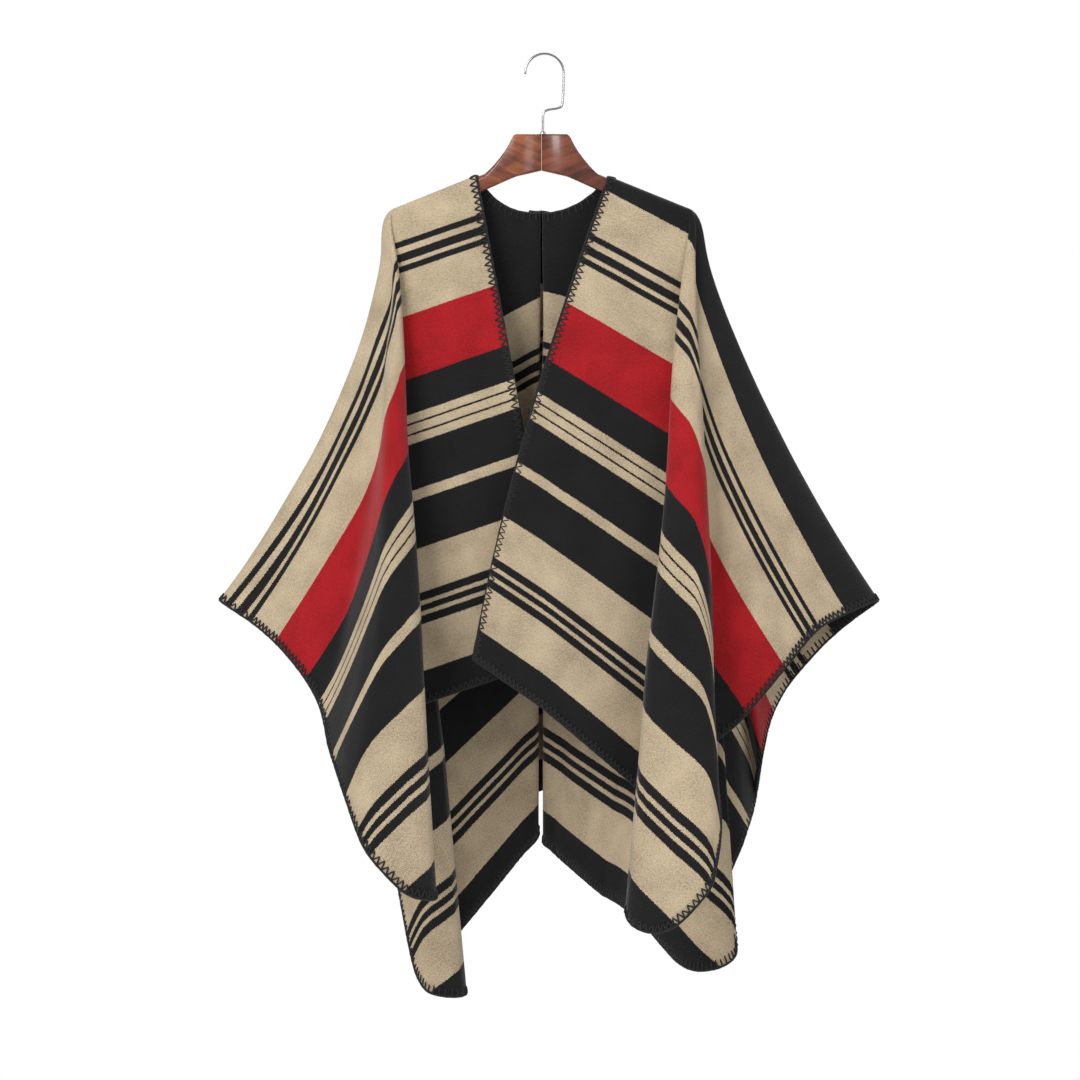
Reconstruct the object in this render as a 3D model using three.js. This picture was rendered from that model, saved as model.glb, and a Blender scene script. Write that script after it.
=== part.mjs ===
// Open-front blanket poncho, one wide cloth with a front slit, hung on a wooden hanger with a wire hook.
// Millimetres, +Z up, the front of the cloth faces -Y. The origin is where the hook's crown hangs.
import * as THREE from 'three';
import { mergeVertices } from 'three/addons/utils/BufferGeometryUtils.js';

const DEG = Math.PI / 180;

// Cut of the cloth, laid flat: u runs sideways from the middle, v runs from the shoulder line,
// to the front above zero and to the back below it
const HALF_WIDTH = 750;
const FRONT_LENGTH = 625;
const BACK_LENGTH = 795;
const FRONT_CORNER = 50;
const BACK_CORNER = 100;
const NECK_HALF = 88;
const NECK_DEPTH = 84;
const FRONT_SLANT = 0.15;
const WALL = 2;
const SEAM_GAP = 0.3;

// Hanger
const CENTRE_X = -4.5;
const ARM_TOP_Z = -121.3;
const ARM_SLOPE = 22 * DEG;
const ARM_REACH = 202;
const ARM_HALF = 6.4;
const SEAT_GAP = 0.55;
const ROLL = ARM_HALF + SEAT_GAP + WALL / 2;

// Hook wire
const WIRE = 3;
const WIRE_SIDES = 8;
const HOOK_RADIUS = 24.6;
const STEM_X = -2.6;
const STEM_FOOT_Z = -101.6;
const COLLAR_RADIUS = 3.6;
const COLLAR_HEIGHT = 3.2;

// How the cloth hangs: over the arms it is flat, beyond each arm's tip its lines fan out from the tip.
// A line is named by its turn, in degrees, from straight down in front, over the ridge, to the back.
const RIDGE_TURN = 90 - ARM_SLOPE / DEG;
const REACH = 640;
const TIP_FADE = 30;
const SIDES = {
  left: { sign: -1, rot: 19 * DEG, drop: 0, foreEdge: -1.5, backStretch: 1.012 },
  right: { sign: 1, rot: 27 * DEG, drop: 15, foreEdge: -4.5, backStretch: 1.1 },
};
const BACK_FORE_EDGE = 6.5;
const LEAST_SURPLUS = 2 * DEG;
const STRETCH_START = 70;
const THIN_REACH = 60;
const THIN_SHARE = 0.55;
const PLEAT_STRETCH = (SIDES.left.backStretch + SIDES.right.backStretch) / 2;

// Each row is one hang line: its lean outwards and its lean to the back, in degrees, near the tip
// and at full reach, and how far the knit stretches along it
const FOLDS = {
  left: [
    { turn: 0, leanNear: 0, leanFar: 0, foreNear: -1.5, foreFar: -1.5, stretch: 1 },
    { turn: 8, leanNear: 3.3, leanFar: 4, foreNear: -2.4, foreFar: -2.6, stretch: 1.03 },
    { turn: 15, leanNear: 0.4, leanFar: 0.8, foreNear: -5.5, foreFar: -6, stretch: 1.08 },
    { turn: 21.5, leanNear: -4.2, leanFar: -3.7, foreNear: -8.5, foreFar: -9.5, stretch: 1.11 },
    { turn: 24, leanNear: -4.4, leanFar: -1.6, foreNear: -10.6, foreFar: -11, stretch: 1.11 },
    { turn: 28, leanNear: -3.6, leanFar: 2, foreNear: -12, foreFar: -11.6, stretch: 1.11 },
    { turn: 33, leanNear: -2.6, leanFar: 4.2, foreNear: -12, foreFar: -10.4, stretch: 1.1 },
    { turn: 38, leanNear: -1.4, leanFar: 6, foreNear: -11, foreFar: -8, stretch: 1.09 },
    { turn: 45, leanNear: -0.8, leanFar: 8.7, foreNear: -8.6, foreFar: -5, stretch: 1.06 },
    { turn: 56, leanNear: 5.5, leanFar: 16, foreNear: -5.5, foreFar: -3, stretch: 1.02 },
    { turn: 62, leanNear: 8.5, leanFar: 20.5, foreNear: -2.6, foreFar: -1.4, stretch: 1.01 },
    { turn: 68, leanNear: 10, leanFar: 26.5, foreNear: 0.5, foreFar: 0.5, stretch: 1 },
    { turn: 74, leanNear: 9.6, leanFar: 22.4, foreNear: 5, foreFar: 5, stretch: 1.01 },
    { turn: 80, leanNear: 8.6, leanFar: 17, foreNear: 9, foreFar: 8.5, stretch: 1.02 },
    { turn: 86, leanNear: 7.4, leanFar: 11.6, foreNear: 11, foreFar: 9, stretch: 1.02 },
    { turn: 92, leanNear: 6, leanFar: 8.2, foreNear: 9.5, foreFar: 6, stretch: 1.03 },
    { turn: 98, leanNear: 4.6, leanFar: 5.4, foreNear: 6.5, foreFar: 2.6, stretch: 1.04 },
    { turn: 104, leanNear: 3.4, leanFar: 3.6, foreNear: 7, foreFar: 6, stretch: 1.04 },
    { turn: 108, leanNear: 2.4, leanFar: 2.2, foreNear: 8, foreFar: 8, stretch: 1.05 },
    { turn: 112, leanNear: 1.6, leanFar: 0.7, foreNear: 6.5, foreFar: 5, stretch: 1.074 },
    { turn: 120, leanNear: 0, leanFar: -0.6, foreNear: 3, foreFar: 0.8, stretch: 1.074 },
    { turn: 126, leanNear: -1.6, leanFar: -2.3, foreNear: 1.6, foreFar: 0.2, stretch: 1.084 },
    { turn: 130, leanNear: -3, leanFar: -5.2, foreNear: 1.8, foreFar: 1.6, stretch: 1.089 },
    { turn: 133, leanNear: -2, leanFar: -3.4, foreNear: 2.2, foreFar: 3, stretch: 1.074 },
    { turn: 136, leanNear: -0.8, leanFar: -4.8, foreNear: 3, foreFar: 4.4, stretch: 1.064 },
  ],
  right: [
    { turn: 0, leanNear: -3, leanFar: -4, foreNear: -2.5, foreFar: -2.5, stretch: 1.03 },
    { turn: 3.5, leanNear: 0.6, leanFar: 0.4, foreNear: -3.6, foreFar: -3.4, stretch: 1.04 },
    { turn: 7, leanNear: -2, leanFar: -2.4, foreNear: -5.2, foreFar: -5, stretch: 1.07 },
    { turn: 10, leanNear: -5.3, leanFar: -5.3, foreNear: -7, foreFar: -7.2, stretch: 1.1 },
    { turn: 13.6, leanNear: -3.8, leanFar: -2.5, foreNear: -9, foreFar: -9.4, stretch: 1.11 },
    { turn: 18.5, leanNear: -0.8, leanFar: 1.7, foreNear: -10.5, foreFar: -10.4, stretch: 1.11 },
    { turn: 24, leanNear: 2, leanFar: 2.5, foreNear: -10.6, foreFar: -10, stretch: 1.11 },
    { turn: 28.5, leanNear: 3.6, leanFar: 2.3, foreNear: -9.4, foreFar: -8.4, stretch: 1.1 },
    { turn: 32, leanNear: 1.6, leanFar: 1.2, foreNear: -7.6, foreFar: -6, stretch: 1.09 },
    { turn: 37, leanNear: 2, leanFar: 5.6, foreNear: -6.6, foreFar: -4.4, stretch: 1.07 },
    { turn: 45, leanNear: 3.5, leanFar: 12.5, foreNear: -6.4, foreFar: -3.8, stretch: 1.03 },
    { turn: 56, leanNear: 10, leanFar: 19.6, foreNear: -5, foreFar: -3, stretch: 1 },
    { turn: 68, leanNear: 17.5, leanFar: 27.2, foreNear: 0.5, foreFar: 0.5, stretch: 1 },
    { turn: 74, leanNear: 15.4, leanFar: 22.6, foreNear: 5, foreFar: 5, stretch: 1.01 },
    { turn: 80, leanNear: 12, leanFar: 17.4, foreNear: 9, foreFar: 8.5, stretch: 1.03 },
    { turn: 86, leanNear: 9.2, leanFar: 12.6, foreNear: 10.5, foreFar: 9, stretch: 1.05 },
    { turn: 92, leanNear: 7, leanFar: 9.2, foreNear: 8.5, foreFar: 5.5, stretch: 1.06 },
    { turn: 98, leanNear: 5.4, leanFar: 7.4, foreNear: 6, foreFar: 2.6, stretch: 1.07 },
    { turn: 103, leanNear: 4.4, leanFar: 6.6, foreNear: 6.5, foreFar: 4.5, stretch: 1.06 },
    { turn: 107, leanNear: 3.6, leanFar: 5, foreNear: 6, foreFar: 2.2, stretch: 1.06 },
    { turn: 110.5, leanNear: 2.8, leanFar: 3.5, foreNear: 4.8, foreFar: 1.4, stretch: 1.06 },
    { turn: 114, leanNear: 2.3, leanFar: 3.7, foreNear: 3.4, foreFar: 0.5, stretch: 1.084 },
    { turn: 119, leanNear: 1.4, leanFar: 0.6, foreNear: 2.4, foreFar: 0.7, stretch: 1.084 },
    { turn: 125, leanNear: 0.6, leanFar: -2.8, foreNear: 2, foreFar: 2.2, stretch: 1.084 },
    { turn: 130, leanNear: 0.2, leanFar: -4.9, foreNear: 2.3, foreFar: 3.4, stretch: 1.099 },
    { turn: 136, leanNear: 0, leanFar: -7, foreNear: 3, foreFar: 4.4, stretch: 1.124 },
  ],
};

// The box pleat down the middle of the back, for one half of it: the share of the surplus cloth,
// its lean as a share of half the surplus, and how much deeper it lies, in degrees and in mm
const PLEAT = [
  { share: -0.24, lean: 0.48, deep: 0, loft: 0 },
  { share: -0.1, lean: 0.21, deep: 0.1, loft: 0.6 },
  { share: 0, lean: 0.02, deep: 0.4, loft: 3 },
  { share: 0.1, lean: 0.17, deep: 0.8, loft: 5.4 },
  { share: 0.5, lean: 0.86, deep: 1.6, loft: 6.5 },
  { share: 1, lean: 0, deep: 2.6, loft: 7 },
];

// The hanger's wood, one half: sections from the middle seam to the tip
const WOOD_ROWS = [
  { reach: 0, top: -101.6, bottom: -148.3, half: 6.4, round: 3 },
  { reach: 32, top: -101.6, bottom: -155.6, half: 6.4, round: 3 },
  { reach: 35, top: -102.9, bottom: -156.8, half: 6.4, round: 3 },
  { reach: 37, top: -105.6, bottom: -157.6, half: 6.4, round: 3.2 },
  { reach: 41.5, top: -114.6, bottom: -159.6, half: 6.4, round: 3.6 },
  { reach: 47, top: -123.6, bottom: -162, half: 6.4, round: 4.2 },
  { reach: 54, top: -132.8, bottom: -165.2, half: 6.4, round: 5 },
  { reach: 60, top: -140, bottom: -168, half: 6.4, round: 5.6 },
  { reach: 66, top: -146.4, bottom: -170.6, half: 6.4, round: 6.2 },
];
const ARM_FROM = 72;
const ARM_BOTTOM_FROM = -173.3;
const ARM_BOTTOM_TO = -214;
const ARM_STEPS = 6;

const MATERIALS = {
  cloth: { color: '#cdb996', roughness: 0.95, metalness: 0 },
  clothBack: { color: '#2b2b30', roughness: 0.95, metalness: 0 },
  woodLeft: { color: '#8a4526', roughness: 0.4, metalness: 0 },
  woodRight: { color: '#6e321e', roughness: 0.4, metalness: 0 },
  nickel: { color: '#b9babb', roughness: 0.25, metalness: 1 },
};

// Smooth curve through a table's column that never overshoots between two rows
function slopes(xs, ys) {
  const steps = xs.slice(1).map((x, i) => (ys[i + 1] - ys[i]) / (x - xs[i]));
  const inner = steps.slice(1).map((after, i) => {
    const before = steps[i];
    if (before * after <= 0) return 0;
    const wide = 2 * (xs[i + 2] - xs[i + 1]) + (xs[i + 1] - xs[i]);
    const near = (xs[i + 2] - xs[i + 1]) + 2 * (xs[i + 1] - xs[i]);
    return (wide + near) / (wide / before + near / after);
  });
  return [steps[0], ...inner, steps[steps.length - 1]];
}

function columnCurve(rows, by, column) {
  const xs = rows.map((row) => row[by]);
  const ys = rows.map((row) => row[column]);
  const ms = slopes(xs, ys);
  const last = xs.length - 1;
  return (value) => {
    const x = Math.min(Math.max(value, xs[0]), xs[last]);
    let i = 0;
    while (i < last - 1 && x > xs[i + 1]) i += 1;
    const width = xs[i + 1] - xs[i];
    const t = (x - xs[i]) / width;
    const rise = t * t * (3 - 2 * t);
    return ys[i] * (1 - rise) + ys[i + 1] * rise
      + width * t * (1 - t) * (ms[i] * (1 - t) - ms[i + 1] * t);
  };
}

function curvesOf(rows, by) {
  const columns = Object.keys(rows[0]).filter((name) => name !== by);
  return Object.fromEntries(columns.map((name) => [name, columnCurve(rows, by, name)]));
}

const foldCurves = { left: curvesOf(FOLDS.left, 'turn'), right: curvesOf(FOLDS.right, 'turn') };
const pleatCurves = curvesOf(PLEAT, 'share');

const smooth = (t) => {
  const c = Math.min(Math.max(t, 0), 1);
  return c * c * (3 - 2 * c);
};
const blend = (a, b, t) => a + (b - a) * t;

const armSine = Math.sin(ARM_SLOPE);
const armCosine = Math.cos(ARM_SLOPE);
const armTangent = Math.tan(ARM_SLOPE);
const tipX = ARM_REACH * armCosine;
const tipDown = ARM_REACH * armSine;

// Rolling over the arm: how far the cloth stands off, and how much length the roll takes
const rollOut = (d) => ROLL * Math.sin(Math.min(d / ROLL, Math.PI / 2));
const rollPull = (d) => {
  const quarter = ROLL * Math.PI / 2;
  const sunk = d < quarter ? ROLL * (1 - Math.cos(d / ROLL)) : ROLL + d - quarter;
  return d - sunk;
};

// Lean, fore and stretch of one hang line at a distance along it, leans in radians
function hangLine(curves, turn, distance) {
  const q = Math.min(distance / REACH, 1);
  return {
    lean: blend(curves.leanNear(turn), curves.leanFar(turn), q) * DEG,
    fore: blend(curves.foreNear(turn), curves.foreFar(turn), q) * DEG,
    stretch: curves.stretch(turn),
  };
}

// The flat cloth turned about the top of the hanger, before the back is folded over
function unfolded(u, v, side, drop) {
  const s = Math.sin(side.rot);
  const c = Math.cos(side.rot);
  return { x: u * c - v * s, down: u * s + v * c + drop };
}

function foldedOver(flat) {
  const past = flat.down * armCosine - flat.x * armSine;
  const isBack = past < 0;
  const turnBack = isBack ? 2 * past : 0;
  return { x: flat.x + armSine * turnBack, down: flat.down - armCosine * turnBack, past: Math.abs(past), isBack };
}

function beyondTip(name, at, isBack) {
  const x = at.x - tipX;
  const down = at.down - tipDown;
  const r = Math.hypot(x, down);
  const psi = Math.atan2(x, down);
  const turn = isBack ? 2 * RIDGE_TURN - psi / DEG : psi / DEG;
  const line = hangLine(foldCurves[name], turn, r);
  const fade = Math.exp(-((r / TIP_FADE) ** 1.3));
  const lean = blend(line.lean, psi, fade);
  const round = Math.cos(Math.PI * turn / (2 * RIDGE_TURN));
  const length = r * line.stretch;
  const fall = Math.sqrt(1 - Math.sin(lean) ** 2 - Math.sin(line.fore) ** 2);
  const pull = rollPull(r * armCosine) * Math.abs(round);
  return {
    x: tipX + length * Math.sin(lean) + armSine * pull,
    y: length * Math.sin(line.fore) - round * rollOut(r * armCosine),
    down: tipDown + length * fall - armCosine * pull,
  };
}

function underArm(name, at, isBack, centre) {
  const side = SIDES[name];
  const armDown = at.x * armTangent;
  const below = Math.max(at.down - armDown, 0);
  const tip = hangLine(foldCurves[name], isBack ? 2 * RIDGE_TURN : 0, below);
  const near = smooth((tipX - at.x) / ARM_REACH);
  const fore = blend(tip.fore, (isBack ? BACK_FORE_EDGE : side.foreEdge) * DEG, near);
  const squeeze = 1 + below * tip.stretch * Math.sin(tip.lean) / tipX;
  const tipFall = tip.stretch * Math.sqrt(1 - Math.sin(tip.lean) ** 2 - Math.sin(tip.fore) ** 2);
  const middleDraw = isBack ? blend(1, side.backStretch, smooth(below / STRETCH_START)) : 1;
  const drawn = blend(middleDraw, tipFall, Math.min(Math.max(at.x / tipX, 0), 1));
  const pull = rollPull(at.past);
  const place = {
    x: at.x * squeeze,
    y: (isBack ? 1 : -1) * rollOut(at.past) + below * tip.stretch * Math.sin(fore),
    down: armDown + below * drawn,
  };
  if (isBack) {
    const middle = Math.max(Math.atan2(-centre.x, centre.down), LEAST_SURPLUS);
    const phi = Math.atan2(-at.x, at.down);
    const share = phi / middle;
    if (share > PLEAT[0].share) {
      const fromTop = Math.hypot(at.x, at.down);
      const lean = pleatCurves.lean(share) * middle / 2;
      place.x = fromTop * Math.sin(lean) * squeeze;
      place.y += fromTop * Math.sin(pleatCurves.deep(share) * DEG) + pleatCurves.loft(share);
      if (share > 0) {
        place.x -= armSine * pull * Math.min(share, 1);
        place.down = fromTop * Math.cos(lean) * blend(side.backStretch, PLEAT_STRETCH, smooth(share));
      }
    }
  }
  return { x: place.x + armSine * pull, y: place.y, down: place.down - armCosine * pull };
}

// Where a point of the flat cloth hangs
function drape(name, u, v) {
  const side = SIDES[name];
  const drop = blend(SIDES.left.drop, SIDES.right.drop, smooth((side.sign * u + NECK_HALF) / (2 * NECK_HALF)));
  const at = foldedOver(unfolded(u, v, side, drop));
  const centre = foldedOver(unfolded(0, v, side, drop));
  const hung = at.x > tipX ? beyondTip(name, at, at.isBack) : underArm(name, at, at.isBack, centre);
  return new THREE.Vector3(CENTRE_X + side.sign * hung.x, hung.y, ARM_TOP_Z - hung.down);
}

// How thick the wall is beside an arm's tip, where many folds meet, as a share of the whole
function thinned(name, u, v) {
  const tip = ridgePoint(name, ARM_REACH, true);
  return blend(THIN_SHARE, 1, smooth(Math.hypot(u - tip.u, v - tip.v) / THIN_REACH));
}

const NORMAL_STEP = 1.5;

function drapeNormal(name, u, v) {
  const sign = SIDES[name].sign;
  const across = drape(name, u + NORMAL_STEP, v).sub(drape(name, u - NORMAL_STEP, v));
  const along = drape(name, u, v + NORMAL_STEP).sub(drape(name, u, v - NORMAL_STEP));
  return across.cross(along).multiplyScalar(-sign).normalize();
}

// Distance from a point of the flat cloth to its outline, along a direction
function edgeDistance(u, v, du, dv) {
  const toFront = dv > 0;
  const length = toFront ? FRONT_LENGTH : BACK_LENGTH;
  const radius = toFront ? FRONT_CORNER : BACK_CORNER;
  const toHem = dv === 0 ? Infinity : (length - Math.sign(dv) * v) / Math.abs(dv);
  const toSide = du <= 0 ? Infinity : (HALF_WIDTH - u) / du;
  const straight = Math.min(toHem, toSide);
  const cu = HALF_WIDTH - radius;
  const cv = Math.sign(dv) * (length - radius);
  const inCorner = u + du * straight > cu && Math.abs(v + dv * straight) > length - radius;
  if (!inCorner) return straight;
  const b = (u - cu) * du + (v - cv) * dv;
  const c = (u - cu) ** 2 + (v - cv) ** 2 - radius ** 2;
  return -b + Math.sqrt(b * b - c);
}

// The shoulder ridge in flat-cloth terms: a point at a reach along the arm, half a seam to one side
function ridgePoint(name, reach, toFront) {
  const side = SIDES[name];
  const angle = RIDGE_TURN * DEG + side.rot;
  const off = (toFront ? 1 : -1) * SEAM_GAP / 2 - side.drop * armCosine;
  const along = reach - side.drop * armSine;
  return {
    u: along * Math.sin(angle) - off * Math.cos(angle),
    v: along * Math.cos(angle) + off * Math.sin(angle),
  };
}

// How far along the arm the neck's edge crosses the ridge
function neckReach(name) {
  const side = SIDES[name];
  const angle = RIDGE_TURN * DEG + side.rot;
  const off = -side.drop * armCosine;
  return (NECK_HALF + off * Math.cos(angle)) / Math.sin(angle) + side.drop * armSine;
}

// Column lines of the flat cloth, each from its root on the ridge or the neck to the outline
const FAN_STEP = 3;

function fanColumns(name, fromTurn, toTurn, toFront) {
  const turns = [];
  const rows = FOLDS[name].map((row) => row.turn).filter((turn) => turn >= fromTurn && turn <= toTurn);
  rows.slice(1).forEach((turn, i) => {
    const parts = Math.ceil((turn - rows[i]) / FAN_STEP);
    for (let k = 0; k < parts; k += 1) turns.push(blend(rows[i], turn, k / parts));
  });
  turns.push(toTurn);
  const root = ridgePoint(name, ARM_REACH, toFront);
  return turns.map((turn) => {
    const angle = turn * DEG + SIDES[name].rot;
    const reach = edgeDistance(root.u, root.v, Math.sin(angle), Math.cos(angle));
    const end = { u: root.u + reach * Math.sin(angle), v: root.v + reach * Math.cos(angle) };
    return { root, end, apex: true };
  });
}

const FRONT_PANEL_COLUMNS = 6;

function frontColumns(name) {
  const fan = fanColumns(name, 0, RIDGE_TURN, true);
  const tipLine = fan[0];
  const panel = [];
  for (let k = 0; k < FRONT_PANEL_COLUMNS; k += 1) {
    const t = k / FRONT_PANEL_COLUMNS;
    const root = ridgePoint(name, blend(neckReach(name), ARM_REACH, t), true);
    const edgeEnd = NECK_HALF + FRONT_SLANT * FRONT_LENGTH;
    panel.push({ root, end: { u: blend(edgeEnd, tipLine.end.u, t), v: FRONT_LENGTH } });
  }
  return [...panel, ...fan];
}

const PLEAT_SHARES = [1, 0.93, 0.84, 0.73, 0.62, 0.5, 0.38, 0.25, 0.16, 0.1, 0.05, 0, -0.05, -0.1, -0.24];
const BACK_SHOULDER_COLUMNS = 4;
const BACK_NECK_SHARES = [0.66, 0.4, 0.24, 0.17, 0.12, 0.08, 0.05, 0.025];

function backHalfColumns(name) {
  const fan = fanColumns(name, RIDGE_TURN, 2 * RIDGE_TURN, false);
  const tipLine = fan[fan.length - 1];
  const surplus = 2 * ARM_SLOPE - SIDES[name].rot;
  const neckPoint = (round) => ({ u: NECK_HALF * Math.cos(round), v: -NECK_DEPTH * Math.sin(round) });
  const pleat = PLEAT_SHARES.map((share) => {
    const angle = (1 - share) * surplus;
    const round = Math.atan2(NECK_HALF, NECK_DEPTH * Math.tan(angle));
    return { root: neckPoint(round), end: { u: BACK_LENGTH * Math.tan(angle), v: -BACK_LENGTH }, round };
  });
  const inner = pleat[pleat.length - 1];
  const crossing = ridgePoint(name, neckReach(name), false);
  const ridgeRound = Math.asin(-crossing.v / NECK_DEPTH);
  const roots = BACK_NECK_SHARES.map((share) => neckPoint(blend(ridgeRound, inner.round, share)));
  for (let k = 0; k < BACK_SHOULDER_COLUMNS; k += 1) {
    roots.push(ridgePoint(name, blend(neckReach(name), ARM_REACH, k / BACK_SHOULDER_COLUMNS), false));
  }
  const between = roots.map((root, k) => {
    const t = (k + 1) / (roots.length + 1);
    return { root, end: { u: blend(inner.end.u, tipLine.end.u, t), v: -BACK_LENGTH } };
  });
  return [...pleat, ...between, ...fan.reverse()];
}

// Rows along a column: close together over the roll, then wider towards the hem
const ROLL_ROWS = 4;
const HANG_ROWS = 13;
const ROW_CROWD = 1.2;

function rowShares(length) {
  const roll = Math.min(ROLL * Math.PI / 2 / Math.cos(ARM_SLOPE), length / 4);
  const shares = [];
  for (let k = 0; k < ROLL_ROWS; k += 1) shares.push(roll * k / ROLL_ROWS / length);
  for (let k = 0; k <= HANG_ROWS; k += 1) {
    shares.push((roll + (length - roll) * (k / HANG_ROWS) ** ROW_CROWD) / length);
  }
  return shares;
}

// One cloth piece: a grid of column points, each moved out and in by half the wall
function clothPiece(columns) {
  const outer = [];
  const inner = [];
  columns.forEach(({ name, root, end, apex }) => {
    const length = Math.hypot(end.u - root.u, end.v - root.v);
    const outwards = new THREE.Vector3(SIDES[name].sign * armCosine, 0, -armSine);
    rowShares(length).forEach((share, row) => {
      const u = blend(root.u, end.u, share);
      const v = blend(root.v, end.v, share);
      const point = drape(name, u, v);
      const normal = apex && row === 0 ? outwards : drapeNormal(name, u, v);
      const half = WALL / 2 * thinned(name, u, v);
      outer.push(point.clone().addScaledVector(normal, half));
      inner.push(point.clone().addScaledVector(normal, -half));
    });
  });
  return wallBetween(outer, inner, columns.length);
}

function wallBetween(outer, inner, columnCount) {
  const rowCount = outer.length / columnCount;
  const at = (column, row) => column * rowCount + row;
  const corners = [];
  const quad = (a, b, c, d) => corners.push(a, b, c, a, c, d);
  for (let i = 0; i < columnCount - 1; i += 1) {
    for (let j = 0; j < rowCount - 1; j += 1) {
      const ring = [at(i, j), at(i + 1, j), at(i + 1, j + 1), at(i, j + 1)];
      quad(...ring.map((k) => outer[k]));
      quad(...ring.reverse().map((k) => inner[k]));
    }
    quad(inner[at(i, 0)], inner[at(i + 1, 0)], outer[at(i + 1, 0)], outer[at(i, 0)]);
    const end = rowCount - 1;
    quad(outer[at(i, end)], outer[at(i + 1, end)], inner[at(i + 1, end)], inner[at(i, end)]);
  }
  for (let j = 0; j < rowCount - 1; j += 1) {
    quad(outer[at(0, j)], outer[at(0, j + 1)], inner[at(0, j + 1)], inner[at(0, j)]);
    const last = columnCount - 1;
    quad(outer[at(last, j + 1)], outer[at(last, j)], inner[at(last, j)], inner[at(last, j + 1)]);
  }
  return solidFrom(corners);
}

// A closed solid from triangle corners, its equal points shared and its empty triangles left out
function solidFrom(corners) {
  const kept = [];
  for (let k = 0; k < corners.length; k += 3) {
    const [a, b, c] = corners.slice(k, k + 3);
    const isEmpty = a.equals(b) || b.equals(c) || a.equals(c);
    if (!isEmpty) kept.push(a, b, c);
  }
  const geometry = new THREE.BufferGeometry();
  const values = kept.flatMap((point) => point.toArray());
  geometry.setAttribute('position', new THREE.Float32BufferAttribute(values, 3));
  const solid = mergeVertices(geometry, 1e-4);
  solid.computeVertexNormals();
  return solid;
}

// Hanger wood: rounded sections joined from the seam to the tip
const CORNER_STEPS = 4;

function woodSections() {
  const rows = WOOD_ROWS.map((row) => ({ ...row, tall: row.round }));
  const seat = (ROLL - ARM_HALF) / armCosine;
  const armEnd = tipX - ROLL;
  for (let k = 0; k <= ARM_STEPS; k += 1) {
    const reach = blend(ARM_FROM, armEnd, k / ARM_STEPS);
    rows.push({
      reach,
      top: ARM_TOP_Z - reach * armTangent - seat,
      bottom: blend(ARM_BOTTOM_FROM, ARM_BOTTOM_TO, k / ARM_STEPS),
      half: ARM_HALF,
      round: ARM_HALF,
      tall: ARM_HALF / armCosine,
    });
  }
  const last = rows[rows.length - 1];
  [0.85, 0.5].forEach((size, k) => {
    const reach = armEnd + 3 * (k + 1);
    const middle = (last.top + last.bottom) / 2;
    rows.push({
      reach,
      top: blend(middle, last.top, size) - 1.2 * (k + 1),
      bottom: blend(middle, last.bottom, size),
      half: last.half * size,
      round: last.round * size,
      tall: last.tall * size,
    });
  });
  return rows;
}

function woodHalf(sign) {
  const rings = woodSections().map((row) => {
    const ring = [];
    const inset = { y: row.half - row.round, z: row.tall };
    const corners = [
      { y: 1, z: row.top - inset.z, from: 0 },
      { y: -1, z: row.top - inset.z, from: 90 },
      { y: -1, z: row.bottom + inset.z, from: 180 },
      { y: 1, z: row.bottom + inset.z, from: 270 },
    ];
    corners.forEach(({ y, z, from }) => {
      for (let k = 0; k <= CORNER_STEPS; k += 1) {
        const angle = (from + 90 * k / CORNER_STEPS) * DEG;
        const x = CENTRE_X + sign * (row.reach + SEAM_GAP / 2);
        ring.push(new THREE.Vector3(
          x,
          y * inset.y + row.round * Math.cos(angle),
          z + row.tall * Math.sin(angle),
        ));
      }
    });
    return ring;
  });
  return loft(rings, sign < 0);
}

// Rings of equal count joined into a closed solid with flat ends
function loft(rings, reversed) {
  const corners = [];
  const triangle = (a, b, c) => (reversed ? corners.push(a, c, b) : corners.push(a, b, c));
  const count = rings[0].length;
  rings.slice(1).forEach((ring, i) => {
    const before = rings[i];
    for (let k = 0; k < count; k += 1) {
      const next = (k + 1) % count;
      triangle(before[k], before[next], ring[next]);
      triangle(before[k], ring[next], ring[k]);
    }
  });
  const cap = (ring, isEnd) => {
    const middle = ring.reduce((sum, point) => sum.add(point), new THREE.Vector3()).divideScalar(count);
    for (let k = 0; k < count; k += 1) {
      const next = ring[(k + 1) % count];
      if (isEnd) triangle(middle, ring[k], next);
      else triangle(middle, next, ring[k]);
    }
  };
  cap(rings[0], false);
  cap(rings[rings.length - 1], true);
  return solidFrom(corners);
}

// Hook: a half circle, a straight drop, a jog back to the middle and the stem
function hookPath() {
  const crownZ = WIRE / 2;
  const centre = { x: -0.6, z: crownZ - HOOK_RADIUS };
  const points = [];
  for (let angle = 184; angle >= 0; angle -= 23) {
    points.push([centre.x + HOOK_RADIUS * Math.cos(angle * DEG), centre.z + HOOK_RADIUS * Math.sin(angle * DEG)]);
  }
  points.push([23.6, -42], [22.6, -60], [20.6, -66.4], [14, -68.8], [4.6, -70.2], [-1, -73.2], [STEM_X, -79]);
  points.push([STEM_X, -90], [STEM_X, STEM_FOOT_Z + SEAM_GAP]);
  return new THREE.CatmullRomCurve3(points.map(([x, z]) => new THREE.Vector3(x, 0, z)), false, 'centripetal');
}

function hookWire() {
  const corners = [];
  for (let k = 0; k < WIRE_SIDES; k += 1) {
    const angle = 2 * Math.PI * k / WIRE_SIDES;
    corners.push(new THREE.Vector2(Math.cos(angle), Math.sin(angle)).multiplyScalar(WIRE / 2));
  }
  return new THREE.ExtrudeGeometry(new THREE.Shape(corners), { steps: 54, extrudePath: hookPath() });
}

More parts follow.
